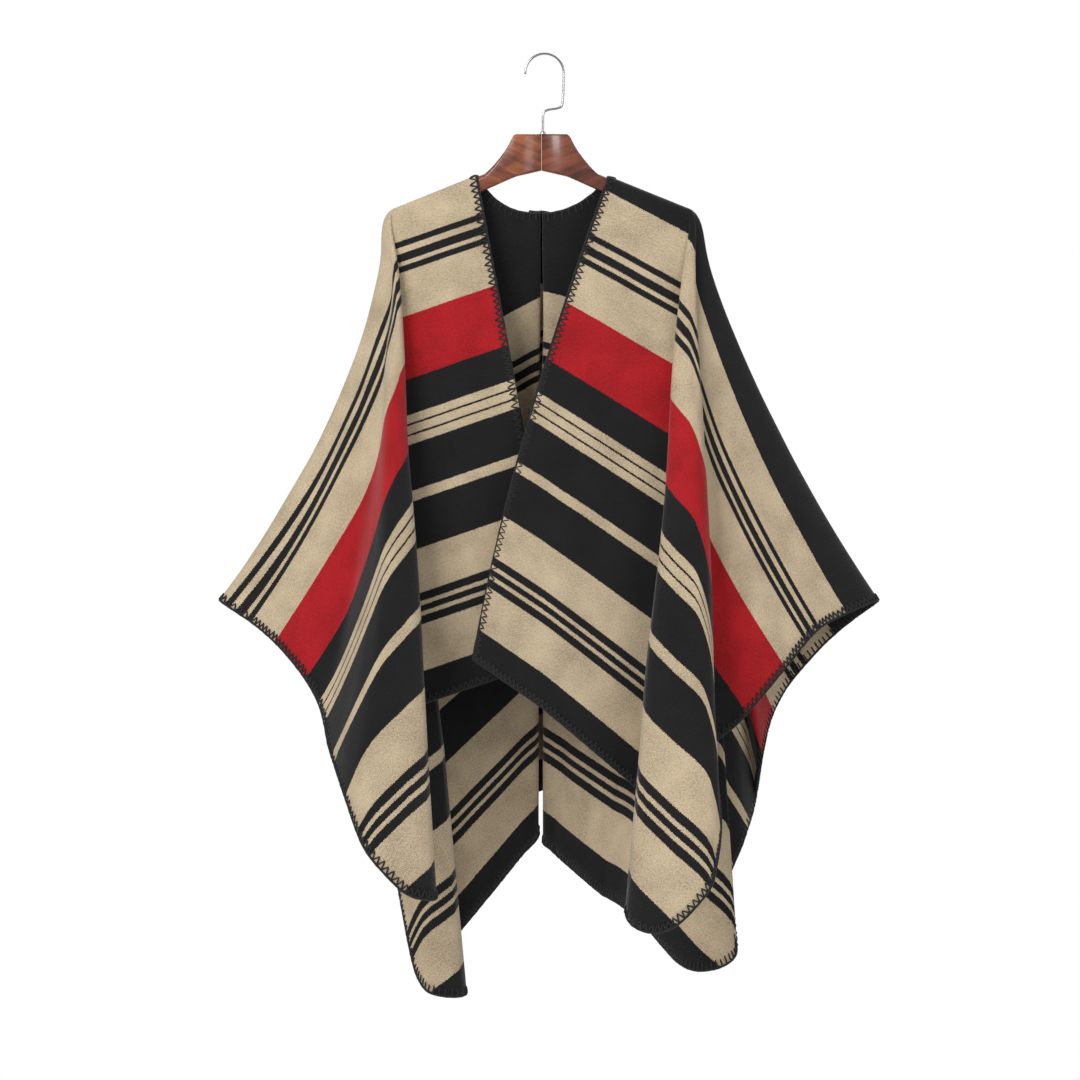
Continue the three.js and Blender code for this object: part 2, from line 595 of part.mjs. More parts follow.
function collarRing() {
  const bore = WIRE / 2 + SEAM_GAP;
  const profile = [
    [bore, 0], [COLLAR_RADIUS, 0], [COLLAR_RADIUS, COLLAR_HEIGHT * 0.6], [COLLAR_RADIUS * 0.8, COLLAR_HEIGHT],
    [bore, COLLAR_HEIGHT], [bore, 0],
  ].map(([r, z]) => new THREE.Vector2(r, z));
  const ring = new THREE.LatheGeometry(profile, 16);
  ring.rotateX(Math.PI / 2);
  return ring;
}

const poncho = new THREE.Group();

function addMesh(name, geometry, finish, position) {
  const mesh = new THREE.Mesh(geometry, new THREE.MeshStandardMaterial(MATERIALS[finish]));
  mesh.name = name;
  if (position) mesh.position.set(...position);
  poncho.add(mesh);
}

const named = (name, columns) => columns.map((column) => ({ name, ...column }));

function backColumns() {
  const left = named('left', backHalfColumns('left'));
  const right = named('right', backHalfColumns('right'));
  return [...left.reverse(), ...right.slice(1)];
}

addMesh('front_left', clothPiece(named('left', frontColumns('left'))), 'cloth');
addMesh('front_right', clothPiece(named('right', frontColumns('right').reverse())), 'cloth');
addMesh('back', clothPiece(backColumns()), 'clothBack');
addMesh('hanger_left', woodHalf(-1), 'woodLeft');
addMesh('hanger_right', woodHalf(1), 'woodRight');
addMesh('hook_wire', hookWire(), 'nickel');
addMesh('hook_collar', collarRing(), 'nickel', [STEM_X, 0, WOOD_ROWS[0].top + SEAM_GAP]);

export default poncho;
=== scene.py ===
"""Striped blanket poncho on a wooden hanger: the draped cloth, its stitched edges, the wood and the hook."""
from bisect import bisect_right
from math import atan2, ceil, cos, degrees, exp, hypot, pi, radians, sin, sqrt, tan
from random import Random

import bmesh
import bpy
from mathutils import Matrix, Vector


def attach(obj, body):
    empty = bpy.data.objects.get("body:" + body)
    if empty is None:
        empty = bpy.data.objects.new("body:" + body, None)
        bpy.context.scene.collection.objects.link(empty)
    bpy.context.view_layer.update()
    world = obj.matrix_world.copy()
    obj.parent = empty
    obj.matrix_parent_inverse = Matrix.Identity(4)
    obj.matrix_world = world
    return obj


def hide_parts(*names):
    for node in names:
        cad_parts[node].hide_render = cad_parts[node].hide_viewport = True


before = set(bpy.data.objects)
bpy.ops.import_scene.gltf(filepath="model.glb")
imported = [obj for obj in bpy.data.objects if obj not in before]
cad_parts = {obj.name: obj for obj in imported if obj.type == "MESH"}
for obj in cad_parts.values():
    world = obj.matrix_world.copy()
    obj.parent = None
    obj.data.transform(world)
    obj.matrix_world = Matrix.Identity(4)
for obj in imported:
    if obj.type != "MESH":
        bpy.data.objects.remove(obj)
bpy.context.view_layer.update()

MM = 0.001

# Cut of the cloth, laid flat, in mm: u runs sideways from the middle, v from the shoulder line,
# to the front above zero and to the back below it
HALF_WIDTH = 750
FRONT_LENGTH = 625
BACK_LENGTH = 795
FRONT_CORNER = 50
BACK_CORNER = 100
NECK_HALF = 88
NECK_DEPTH = 84
FRONT_SLANT = 0.15
NECK_EDGE_HALF = 128
CLOTH_THICK = 1.9

# Hanger
CENTRE_X = -4.5
ARM_TOP_Z = -121.3
ARM_SLOPE = radians(22)
ARM_REACH = 202
ROLL = 7.95

# How the cloth hangs: over the arms it is flat, beyond each arm's tip its lines fan out from the tip.
# A line is named by its turn, in degrees, from straight down in front, over the ridge, to the back.
RIDGE_TURN = 68
REACH = 640
TIP_FADE = 30
BACK_FORE_EDGE = 6.5
LEAST_SURPLUS = radians(2)
STRETCH_START = 70
SIDES = {
    "left": {"sign": -1, "rot": radians(19), "drop": 0, "fore_edge": -1.5, "back_stretch": 1.012},
    "right": {"sign": 1, "rot": radians(27), "drop": 15, "fore_edge": -4.5, "back_stretch": 1.1},
}

PLEAT_STRETCH = (SIDES["left"]["back_stretch"] + SIDES["right"]["back_stretch"]) / 2

FOLD_COLUMNS = ("turn", "lean_near", "lean_far", "fore_near", "fore_far", "stretch")
FOLDS = {
    "left": [
        (0, 0, 0, -1.5, -1.5, 1),
        (8, 3.3, 4, -2.4, -2.6, 1.03),
        (15, 0.4, 0.8, -5.5, -6, 1.08),
        (21.5, -4.2, -3.7, -8.5, -9.5, 1.11),
        (24, -4.4, -1.6, -10.6, -11, 1.11),
        (28, -3.6, 2, -12, -11.6, 1.11),
        (33, -2.6, 4.2, -12, -10.4, 1.1),
        (38, -1.4, 6, -11, -8, 1.09),
        (45, -0.8, 8.7, -8.6, -5, 1.06),
        (56, 5.5, 16, -5.5, -3, 1.02),
        (62, 8.5, 20.5, -2.6, -1.4, 1.01),
        (68, 10, 26.5, 0.5, 0.5, 1),
        (74, 9.6, 22.4, 5, 5, 1.01),
        (80, 8.6, 17, 9, 8.5, 1.02),
        (86, 7.4, 11.6, 11, 9, 1.02),
        (92, 6, 8.2, 9.5, 6, 1.03),
        (98, 4.6, 5.4, 6.5, 2.6, 1.04),
        (104, 3.4, 3.6, 7, 6, 1.04),
        (108, 2.4, 2.2, 8, 8, 1.05),
        (112, 1.6, 0.7, 6.5, 5, 1.074),
        (120, 0, -0.6, 3, 0.8, 1.074),
        (126, -1.6, -2.3, 1.6, 0.2, 1.084),
        (130, -3, -5.2, 1.8, 1.6, 1.089),
        (133, -2, -3.4, 2.2, 3, 1.074),
        (136, -0.8, -4.8, 3, 4.4, 1.064),
    ],
    "right": [
        (0, -3, -4, -2.5, -2.5, 1.03),
        (3.5, 0.6, 0.4, -3.6, -3.4, 1.04),
        (7, -2, -2.4, -5.2, -5, 1.07),
        (10, -5.3, -5.3, -7, -7.2, 1.1),
        (13.6, -3.8, -2.5, -9, -9.4, 1.11),
        (18.5, -0.8, 1.7, -10.5, -10.4, 1.11),
        (24, 2, 2.5, -10.6, -10, 1.11),
        (28.5, 3.6, 2.3, -9.4, -8.4, 1.1),
        (32, 1.6, 1.2, -7.6, -6, 1.09),
        (37, 2, 5.6, -6.6, -4.4, 1.07),
        (45, 3.5, 12.5, -6.4, -3.8, 1.03),
        (56, 10, 19.6, -5, -3, 1),
        (68, 17.5, 27.2, 0.5, 0.5, 1),
        (74, 15.4, 22.6, 5, 5, 1.01),
        (80, 12, 17.4, 9, 8.5, 1.03),
        (86, 9.2, 12.6, 10.5, 9, 1.05),
        (92, 7, 9.2, 8.5, 5.5, 1.06),
        (98, 5.4, 7.4, 6, 2.6, 1.07),
        (103, 4.4, 6.6, 6.5, 4.5, 1.06),
        (107, 3.6, 5, 6, 2.2, 1.06),
        (110.5, 2.8, 3.5, 4.8, 1.4, 1.06),
        (114, 2.3, 3.7, 3.4, 0.5, 1.084),
        (119, 1.4, 0.6, 2.4, 0.7, 1.084),
        (125, 0.6, -2.8, 2, 2.2, 1.084),
        (130, 0.2, -4.9, 2.3, 3.4, 1.099),
        (136, 0, -7, 3, 4.4, 1.124),
    ],
}

# Box pleat down the middle of the back, one half: share of the surplus cloth, lean as a share of
# half the surplus, and how much deeper it lies, in degrees and in mm
PLEAT_COLUMNS = ("share", "lean", "deep", "loft")
PLEAT = [
    (-0.24, 0.48, 0, 0),
    (-0.1, 0.21, 0.1, 0.6),
    (0, 0.02, 0.4, 3),
    (0.1, 0.17, 0.8, 5.4),
    (0.5, 0.86, 1.6, 6.5),
    (1, 0, 2.6, 7),
]

# Soft creases, listed one by one: side, ends in the flat cloth, half width and height, all in mm.
# A height above zero stands out of the right side of the cloth, below zero it sinks in.
CREASE_COLUMNS = ("side", "u_from", "v_from", "u_to", "v_to", "width", "height")
CREASES = [
    ("left", 150, 60, 205, 330, 22, 2.2),
    ("left", 195, 150, 260, 420, 17, -2.0),
    ("left", 118, 210, 160, 560, 26, 1.8),
    ("left", 250, 90, 420, 470, 24, 2.4),
    ("left", 330, 110, 520, 520, 20, -1.9),
    ("left", 300, 20, 560, 330, 28, 2.2),
    ("left", 420, 60, 700, 260, 22, -2.0),
    ("left", 560, 30, 735, 80, 26, 1.6),
    ("left", 480, 360, 640, 610, 18, 1.7),
    ("left", 210, 430, 300, 610, 20, 1.8),
    ("left", 150, -120, 300, -420, 24, 2.2),
    ("left", 260, -60, 560, -330, 22, -2.0),
    ("left", 340, -140, 640, -640, 26, 2.4),
    ("left", 90, -260, 140, -700, 20, -2.2),
    ("left", 40, -190, 60, -420, 16, 2.0),
    ("left", 430, -420, 540, -780, 22, -2.0),
    ("left", 230, -470, 300, -780, 18, 1.8),
    ("left", 500, -60, 735, -210, 20, 1.8),
    ("right", 140, 40, 215, 300, 24, 2.4),
    ("right", 185, 170, 235, 420, 15, -2.0),
    ("right", 120, 230, 190, 600, 28, 2.2),
    ("right", 205, 330, 270, 610, 18, -1.8),
    ("right", 270, 60, 430, 420, 22, 2.2),
    ("right", 350, 140, 560, 560, 20, -2.0),
    ("right", 330, 10, 610, 250, 26, 2.2),
    ("right", 470, 70, 720, 300, 20, -1.8),
    ("right", 580, -30, 740, 60, 24, 1.6),
    ("right", 500, 380, 610, 610, 18, 1.7),
    ("right", 130, -110, 270, -430, 22, 2.2),
    ("right", 250, -90, 540, -380, 22, -2.2),
    ("right", 330, -190, 610, -700, 26, 2.4),
    ("right", 80, -240, 120, -660, 18, -2.0),
    ("right", 36, -180, 70, -380, 15, 2.0),
    ("right", 420, -450, 520, -780, 22, -2.0),
    ("right", 220, -440, 260, -760, 18, 1.8),
    ("right", 520, -90, 735, -260, 20, 1.8),
]

# Stripes from the shoulder band outwards, in mm, the same to the front and to the back
BAND_HALF = 85.1
STRIPES = [
    (-BAND_HALF, "black"),
    (0, "sand"),
    (55, "black"), (64.6, "sand"),
    (71, "black"), (80.6, "sand"),
    (87, "black"), (96, "sand"),
    (149.8, "red"),
    (226.6, "black"),
    (268.8, "sand"), (280.3, "black"),
    (284.2, "sand"), (292.5, "black"),
    (296.3, "sand"), (307.2, "black"),
    (363.5, "sand"), (376.3, "black"),
    (435.2, "sand"),
    (489, "black"), (498.6, "sand"),
    (503.7, "black"), (513.3, "sand"),
    (518.4, "black"), (527.4, "sand"),
    (585, "black"),
]

CREASE_DEPTH = 1.5
CREASE_RUN_OUT = 0.3
CREASE_TIP_FADE = 40
MIDDLE_WIDTH = 0.01

# Edge yarn
YARN_ROUND = 1.05
EDGE_ROUND = 1.75
STITCH_PITCH = 8
STITCH_DEPTH = 10
BAR_PITCH = 7.7
BAR_DEPTH = 10


# Curves through a table's columns that never overshoot between two rows
def slopes(xs, ys):
    steps = [(ys[i + 1] - ys[i]) / (xs[i + 1] - xs[i]) for i in range(len(xs) - 1)]
    inner = []
    for i, (before, after) in enumerate(zip(steps, steps[1:])):
        if before * after <= 0:
            inner.append(0)
            continue
        wide = 2 * (xs[i + 2] - xs[i + 1]) + (xs[i + 1] - xs[i])
        near = (xs[i + 2] - xs[i + 1]) + 2 * (xs[i + 1] - xs[i])
        inner.append((wide + near) / (wide / before + near / after))
    return [steps[0], *inner, steps[-1]]


def column_curve(xs, ys):
    ms = slopes(xs, ys)
    last = len(xs) - 1

    def at(value):
        x = min(max(value, xs[0]), xs[last])
        i = min(max(bisect_right(xs, x) - 1, 0), last - 1)
        width = xs[i + 1] - xs[i]
        t = (x - xs[i]) / width
        rise = t * t * (3 - 2 * t)
        bow = width * t * (1 - t) * (ms[i] * (1 - t) - ms[i + 1] * t)
        return ys[i] * (1 - rise) + ys[i + 1] * rise + bow

    return at


def curves_of(rows, columns):
    xs = [row[0] for row in rows]
    return {name: column_curve(xs, [row[k] for row in rows]) for k, name in enumerate(columns) if k}


FOLD_CURVES = {name: curves_of(rows, FOLD_COLUMNS) for name, rows in FOLDS.items()}
PLEAT_CURVES = curves_of(PLEAT, PLEAT_COLUMNS)


def smooth(t):
    c = min(max(t, 0), 1)
    return c * c * (3 - 2 * c)


def blend(a, b, t):
    return a + (b - a) * t


ARM_SINE, ARM_COSINE, ARM_TANGENT = sin(ARM_SLOPE), cos(ARM_SLOPE), tan(ARM_SLOPE)
TIP_X = ARM_REACH * ARM_COSINE
TIP_DOWN = ARM_REACH * ARM_SINE


# The drape
def roll_out(d):
    return ROLL * sin(min(d / ROLL, pi / 2))


def roll_pull(d):
    quarter = ROLL * pi / 2
    sunk = ROLL * (1 - cos(d / ROLL)) if d < quarter else ROLL + d - quarter
    return d - sunk


def hang_line(name, turn, distance):
    curves = FOLD_CURVES[name]
    q = min(distance / REACH, 1)
    lean = radians(blend(curves["lean_near"](turn), curves["lean_far"](turn), q))
    fore = radians(blend(curves["fore_near"](turn), curves["fore_far"](turn), q))
    return lean, fore, curves["stretch"](turn)


def folded_over(u, v, side, drop):
    """The flat cloth turned about the top of the hanger, its back folded down behind."""
    s, c = sin(side["rot"]), cos(side["rot"])
    x, down = u * c - v * s, u * s + v * c + drop
    past = down * ARM_COSINE - x * ARM_SINE
    is_back = past < 0
    turn_back = 2 * past if is_back else 0
    return x + ARM_SINE * turn_back, down - ARM_COSINE * turn_back, abs(past), is_back


def beyond_tip(name, at_x, at_down, is_back):
    x, down = at_x - TIP_X, at_down - TIP_DOWN
    r = hypot(x, down)
    psi = atan2(x, down)
    turn = 2 * RIDGE_TURN - degrees(psi) if is_back else degrees(psi)
    lean, fore, stretch = hang_line(name, turn, r)
    lean = blend(lean, psi, exp(-((r / TIP_FADE) ** 1.3)))
    facing = cos(pi * turn / (2 * RIDGE_TURN))
    length = r * stretch
    fall = sqrt(1 - sin(lean) ** 2 - sin(fore) ** 2)
    pull = roll_pull(r * ARM_COSINE) * abs(facing)
    return (
        TIP_X + length * sin(lean) + ARM_SINE * pull,
        length * sin(fore) - facing * roll_out(r * ARM_COSINE),
        TIP_DOWN + length * fall - ARM_COSINE * pull,
    )


def under_arm(name, at_x, at_down, past, is_back, centre):
    side = SIDES[name]
    arm_down = at_x * ARM_TANGENT
    below = max(at_down - arm_down, 0)
    lean, tip_fore, stretch = hang_line(name, 2 * RIDGE_TURN if is_back else 0, below)
    near = smooth((TIP_X - at_x) / ARM_REACH)
    fore = blend(tip_fore, radians(BACK_FORE_EDGE if is_back else side["fore_edge"]), near)
    squeeze = 1 + below * stretch * sin(lean) / TIP_X
    tip_fall = stretch * sqrt(1 - sin(lean) ** 2 - sin(tip_fore) ** 2)
    middle_draw = blend(1, side["back_stretch"], smooth(below / STRETCH_START)) if is_back else 1
    drawn = blend(middle_draw, tip_fall, min(max(at_x / TIP_X, 0), 1))
    pull = roll_pull(past)
    x = at_x * squeeze
    y = (1 if is_back else -1) * roll_out(past) + below * stretch * sin(fore)
    down = arm_down + below * drawn
    if is_back:
        middle = max(atan2(-centre[0], centre[1]), LEAST_SURPLUS)
        share = atan2(-at_x, at_down) / middle
        if share > PLEAT[0][0]:
            from_top = hypot(at_x, at_down)
            pleat_lean = PLEAT_CURVES["lean"](share) * middle / 2
            x = from_top * sin(pleat_lean) * squeeze
            y += from_top * sin(radians(PLEAT_CURVES["deep"](share))) + PLEAT_CURVES["loft"](share)
            if share > 0:
                x -= ARM_SINE * pull * min(share, 1)
                down = from_top * cos(pleat_lean) * blend(side["back_stretch"], PLEAT_STRETCH, smooth(share))
    return x + ARM_SINE * pull, y, down - ARM_COSINE * pull


def drape(name, u, v):
    """Where a point of the flat cloth hangs, in mm."""
    side = SIDES[name]
    across = smooth((side["sign"] * u + NECK_HALF) / (2 * NECK_HALF))
    drop = blend(SIDES["left"]["drop"], SIDES["right"]["drop"], across)
    at_x, at_down, past, is_back = folded_over(u, v, side, drop)
    if at_x > TIP_X:
        x, y, down = beyond_tip(name, at_x, at_down, is_back)
    else:
        centre = folded_over(0, v, side, drop)
        x, y, down = under_arm(name, at_x, at_down, past, is_back, centre)
    return Vector((CENTRE_X + side["sign"] * x, y, ARM_TOP_Z - down))


NORMAL_STEP = 1.5


def drape_normal(name, u, v):
    across = drape(name, u + NORMAL_STEP, v) - drape(name, u - NORMAL_STEP, v)
    along = drape(name, u, v + NORMAL_STEP) - drape(name, u, v - NORMAL_STEP)
    return across.cross(along).normalized() * -SIDES[name]["sign"]


def crease_height(name, u, v):
    height = 0
    for side, u0, v0, u1, v1, width, tall in CREASES:
        if side != name:
            continue
        du, dv = u1 - u0, v1 - v0
        along = ((u - u0) * du + (v - v0) * dv) / (du * du + dv * dv)
        if not -CREASE_RUN_OUT < along < 1 + CREASE_RUN_OUT:
            continue
        off = abs((u - u0) * dv - (v - v0) * du) / hypot(du, dv)
        if off < 3 * width:
            start = smooth((along + CREASE_RUN_OUT) / (2 * CREASE_RUN_OUT))
            ends = start * smooth((1 + CREASE_RUN_OUT - along) / (2 * CREASE_RUN_OUT))
            height += tall * ends * exp(-((off / width) ** 2))
    return height


def cloth_point(name, u, v, lift=0):
    """A point of the finished cloth, lifted off its middle by some mm."""
    return drape(name, u, v) + drape_normal(name, u, v) * (crease_height(name, u, v) + lift)


# The cut's outline
def edge_distance(u, v, du, dv):
    to_front = dv > 0
    length = FRONT_LENGTH if to_front else BACK_LENGTH
    radius = FRONT_CORNER if to_front else BACK_CORNER
    to_hem = (length - v if to_front else length + v) / abs(dv) if dv else 1e9
    to_side = (HALF_WIDTH - u) / du if du > 0 else 1e9
    straight = min(to_hem, to_side)
    cu, cv = HALF_WIDTH - radius, (length - radius) * (1 if to_front else -1)
    if not (u + du * straight > cu and abs(v + dv * straight) > length - radius):
        return straight
    b = (u - cu) * du + (v - cv) * dv
    c = (u - cu) ** 2 + (v - cv) ** 2 - radius ** 2
    return -b + sqrt(b * b - c)


def ridge_point(name, reach):
    side = SIDES[name]
    angle = radians(RIDGE_TURN) + side["rot"]
    off = -side["drop"] * ARM_COSINE
    along = reach - side["drop"] * ARM_SINE
    return along * sin(angle) - off * cos(angle), along * cos(angle) + off * sin(angle)


def neck_reach(name):
    side = SIDES[name]
    angle = radians(RIDGE_TURN) + side["rot"]
    off = -side["drop"] * ARM_COSINE
    return (NECK_HALF + off * cos(angle)) / sin(angle) + side["drop"] * ARM_SINE


# Column lines of the cloth: root, end
FAN_STEP = 1.1
SHOULDER_COLUMNS = 20
PLEAT_STEPS = 44
NECK_COLUMNS = 16
ROLL_ROWS = 6
HANG_ROWS = 54
ROW_CROWD = 1.12


def fan_columns(name, turn_from, turn_to):
    turns = []
    rows = [row[0] for row in FOLDS[name] if turn_from <= row[0] <= turn_to]
    for start, stop in zip(rows, rows[1:]):
        parts = ceil((stop - start) / FAN_STEP)
        turns += [blend(start, stop, k / parts) for k in range(parts)]
    turns.append(turn_to)
    u, v = ridge_point(name, ARM_REACH)
    columns = []
    for turn in turns:
        angle = radians(turn) + SIDES[name]["rot"]
        reach = edge_distance(u, v, sin(angle), cos(angle))
        columns.append(((u, v), (u + reach * sin(angle), v + reach * cos(angle))))
    return columns


def shoulder_roots(name):
    neck = neck_reach(name)
    return [ridge_point(name, blend(neck, ARM_REACH, k / SHOULDER_COLUMNS)) for k in range(SHOULDER_COLUMNS)]


def front_columns(name):
    fan = fan_columns(name, 0, RIDGE_TURN)
    edge_end = NECK_HALF + FRONT_SLANT * FRONT_LENGTH
    panel = []
    for k, root in enumerate(shoulder_roots(name)):
        panel.append((root, (blend(edge_end, fan[0][1][0], k / SHOULDER_COLUMNS), FRONT_LENGTH)))
    return panel + fan


def neck_point(turn):
    return NECK_HALF * cos(turn), -NECK_DEPTH * sin(turn)


def back_columns(name):
    fan = fan_columns(name, RIDGE_TURN, 2 * RIDGE_TURN)
    surplus = 2 * ARM_SLOPE - SIDES[name]["rot"]
    columns = []
    for k in range(PLEAT_STEPS + 1):
        share = blend(1, PLEAT[0][0], k / PLEAT_STEPS)
        angle = (1 - share) * surplus
        turn = atan2(NECK_HALF, NECK_DEPTH * tan(angle))
        columns.append((neck_point(turn), (BACK_LENGTH * tan(angle), -BACK_LENGTH)))
    ridge_v = ridge_point(name, neck_reach(name))[1]
    ridge_turn = atan2(-ridge_v / NECK_DEPTH, sqrt(1 - (ridge_v / NECK_DEPTH) ** 2))
    roots = [neck_point(blend(turn, ridge_turn, (k / NECK_COLUMNS) ** 0.6)) for k in range(1, NECK_COLUMNS)]
    roots += shoulder_roots(name)
    inner_end, outer_end = columns[-1][1][0], fan[-1][1][0]
    for k, root in enumerate(roots):
        columns.append((root, (blend(inner_end, outer_end, (k + 1) / (len(roots) + 1)), -BACK_LENGTH)))
    return columns + fan[::-1]


def row_shares(length):
    roll = min(ROLL * pi / 2 / ARM_COSINE, length / 4)
    shares = [roll * k / ROLL_ROWS / length for k in range(ROLL_ROWS)]
    shares += [(roll + (length - roll) * (k / HANG_ROWS) ** ROW_CROWD) / length for k in range(HANG_ROWS + 1)]
    return shares


# Meshes
def finished_object(name, mesh):
    piece = bpy.data.objects.new(name, mesh)
    bpy.context.scene.collection.objects.link(piece)
    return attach(piece, "root")


def grid_part(shape, uv_layer, name, columns):
    """One part of the cloth between its column lines, right side out."""
    sign = SIDES[name]["sign"]
    grid = []
    for (u0, v0), (u1, v1) in columns:
        length = hypot(u1 - u0, v1 - v0)
        line = []
        for share in row_shares(length):
            u, v = blend(u0, u1, share), blend(v0, v1, share)
            owner = "left" if abs(u) < MIDDLE_WIDTH else name
            near_tip = smooth(share * length / CREASE_TIP_FADE)
            normal = drape_normal(owner, u, v)
            place = drape(owner, u, v) + normal * crease_height(name, u, v) * near_tip * CREASE_DEPTH
            on_cut = (sign * u / HALF_WIDTH / 2 + 0.5, (v + BACK_LENGTH) * MM)
            line.append((shape.verts.new(place * MM), on_cut))
        grid.append(line)
    for before, after in zip(grid, grid[1:]):
        for j in range(len(before) - 1):
            ring = [before[j], after[j], after[j + 1], before[j + 1]]
            face = shape.faces.new([vertex for vertex, _ in ring])
            face.smooth = True
            for loop, (_, uv) in zip(face.loops, ring):
                loop[uv_layer].uv = uv


def make_cloth():
    shape = bmesh.new()
    uv_layer = shape.loops.layers.uv.new("cut")
    for name in SIDES:
        front, back = front_columns(name), back_columns(name)
        grid_part(shape, uv_layer, name, front if name == "left" else front[::-1])
        grid_part(shape, uv_layer, name, back[::-1] if name == "left" else back)
    bmesh.ops.remove_doubles(shape, verts=shape.verts, dist=0.02 * MM)
    bmesh.ops.dissolve_degenerate(shape, edges=shape.edges, dist=0.01 * MM)
    mesh = bpy.data.meshes.new("cloth")
    shape.to_mesh(mesh)
    shape.free()
    piece = finished_object("striped_cloth", mesh)
    wall = piece.modifiers.new("wall", "SOLIDIFY")
    wall.thickness = CLOTH_THICK * MM
    wall.offset = 0
    wall.use_even_offset = False
    apply_modifiers(piece)
    return piece


def apply_modifiers(piece):
    bpy.ops.object.select_all(action="DESELECT")
    bpy.context.view_layer.objects.active = piece
    piece.select_set(True)
    for modifier in list(piece.modifiers):
        bpy.ops.object.modifier_apply(modifier=modifier.name)
    piece.select_set(False)


def outline(name, step):
    """The cut's edge on one side, from the back of the neck round to the back hem's middle:
    points with the direction into the cloth."""
    edge_end = NECK_HALF + FRONT_SLANT * FRONT_LENGTH
    slope = hypot(1, FRONT_SLANT)
    points = []

    def run(u0, v0, u1, v1, inwards):
        count = max(round(hypot(u1 - u0, v1 - v0) / step), 1)
        for k in range(count):
            points.append((blend(u0, u1, k / count), blend(v0, v1, k / count), *inwards))

    def corner(cu, cv, radius, start, stop):
        count = max(round(radius * pi / 2 / step), 3)
        for k in range(count):
            a = blend(start, stop, k / count)
            points.append((cu + radius * cos(a), cv + radius * sin(a), -cos(a), -sin(a)))

    neck_count = round(NECK_EDGE_HALF / step)
    for k in range(neck_count):
        a = pi / 2 * (1 - k / neck_count)
        points.append((*neck_point(a), cos(a), -sin(a)))
    run(NECK_HALF, 0, edge_end, FRONT_LENGTH, (1 / slope, -FRONT_SLANT / slope))
    run(edge_end, FRONT_LENGTH, HALF_WIDTH - FRONT_CORNER, FRONT_LENGTH, (0, -1))
    corner(HALF_WIDTH - FRONT_CORNER, FRONT_LENGTH - FRONT_CORNER, FRONT_CORNER, pi / 2, 0)
    run(HALF_WIDTH, FRONT_LENGTH - FRONT_CORNER, HALF_WIDTH, BACK_CORNER - BACK_LENGTH, (-1, 0))
    corner(HALF_WIDTH - BACK_CORNER, BACK_CORNER - BACK_LENGTH, BACK_CORNER, 0, -pi / 2)
    run(HALF_WIDTH - BACK_CORNER, -BACK_LENGTH, 0, -BACK_LENGTH, (0, 1))
    points.append((0, -BACK_LENGTH, 0, 1))
    return points


def tube(shape, path, rounds, sides):
    """A yarn swept along a path, its ring carried along without twisting."""
    count = len(path)
    ahead = [(path[min(k + 1, count - 1)] - path[max(k - 1, 0)]).normalized() for k in range(count)]
    side = ahead[0].orthogonal().normalized()
    rings = []
    for k in range(count):
        side = (side - ahead[k] * side.dot(ahead[k])).normalized()
        other = ahead[k].cross(side)
        ring = []
        for j in range(sides):
            a = 2 * pi * j / sides
            ring.append(shape.verts.new((path[k] + (side * cos(a) + other * sin(a)) * rounds[k]) * MM))
        rings.append(ring)
    for before, after in zip(rings, rings[1:]):
        for j in range(sides):
            face = shape.faces.new((before[j], before[(j + 1) % sides], after[(j + 1) % sides], after[j]))
            face.smooth = True
    shape.faces.new(rings[0][::-1])
    shape.faces.new(rings[-1])


def yarn_piece(name, shape):
    mesh = bpy.data.meshes.new(name)
    shape.to_mesh(mesh)
    shape.free()
    return finished_object(name, mesh)


def make_edge_cord():
    """Yarn laid along the whole edge, a little uneven where each stitch grips it."""
    rng = Random(7)
    shape = bmesh.new()
    whole = [("left", *point) for point in outline("left", 4)][::-1]
    whole += [("right", *point) for point in outline("right", 4)][1:-1]
    path, rounds = [], []
    for name, u, v, du, dv in whole:
        place = cloth_point(name, u + 0.4 * du, v + 0.4 * dv, rng.uniform(-0.2, 0.2))
        path.append(place)
        rounds.append(EDGE_ROUND * rng.uniform(0.86, 1.12))
    tube(shape, path, rounds, 7)
    return yarn_piece("edge_cord", shape)


def make_zigzag():
    """Outer face of the edge stitch: a slanted leg in and a slanted leg back for each stitch."""
    rng = Random(11)
    shape = bmesh.new()
    lift = CLOTH_THICK / 2 + YARN_ROUND * 0.55
    for name in SIDES:
        marks = outline(name, STITCH_PITCH)
        path = []
        for here, after in zip(marks, marks[1:]):
            u0, v0, du, dv = here
            u1, v1 = after[0], after[1]
            deep = STITCH_DEPTH * rng.uniform(0.84, 1.1)
            shift = rng.uniform(0.42, 0.58)
            top = (blend(u0, u1, shift) + du * deep, blend(v0, v1, shift) + dv * deep)
            for (ua, va), (ub, vb) in (((u0, v0), top), (top, (u1, v1))):
                for k in range(3):
                    t = k / 3 + 0.06
                    place = cloth_point(name, blend(ua, ub, t), blend(va, vb, t), lift)
                    path.append(place)
        tube(shape, path, [YARN_ROUND * rng.uniform(0.88, 1.12) for _ in path], 5)
    return yarn_piece("edge_zigzag", shape)


def make_bars():
    """Inner face of the edge stitch: short bars square to the edge."""
    rng = Random(13)
    shape = bmesh.new()
    lift = -(CLOTH_THICK / 2 + YARN_ROUND * 0.5)
    for name in SIDES:
        for u, v, du, dv in outline(name, BAR_PITCH)[1:-1]:
            deep = BAR_DEPTH * rng.uniform(0.86, 1.1)
            skew = rng.uniform(-0.9, 0.9)
            path = []
            for t in (0, 0.35, 0.75, 1):
                sink = 0.8 if t == 1 else 0
                at = (u + du * deep * t - dv * skew * t, v + dv * deep * t + du * skew * t)
                place = cloth_point(name, *at, lift + sink)
                path.append(place)
            tube(shape, path, [YARN_ROUND, YARN_ROUND, YARN_ROUND * 0.95, YARN_ROUND * 0.7], 5)
    return yarn_piece("edge_bars", shape)


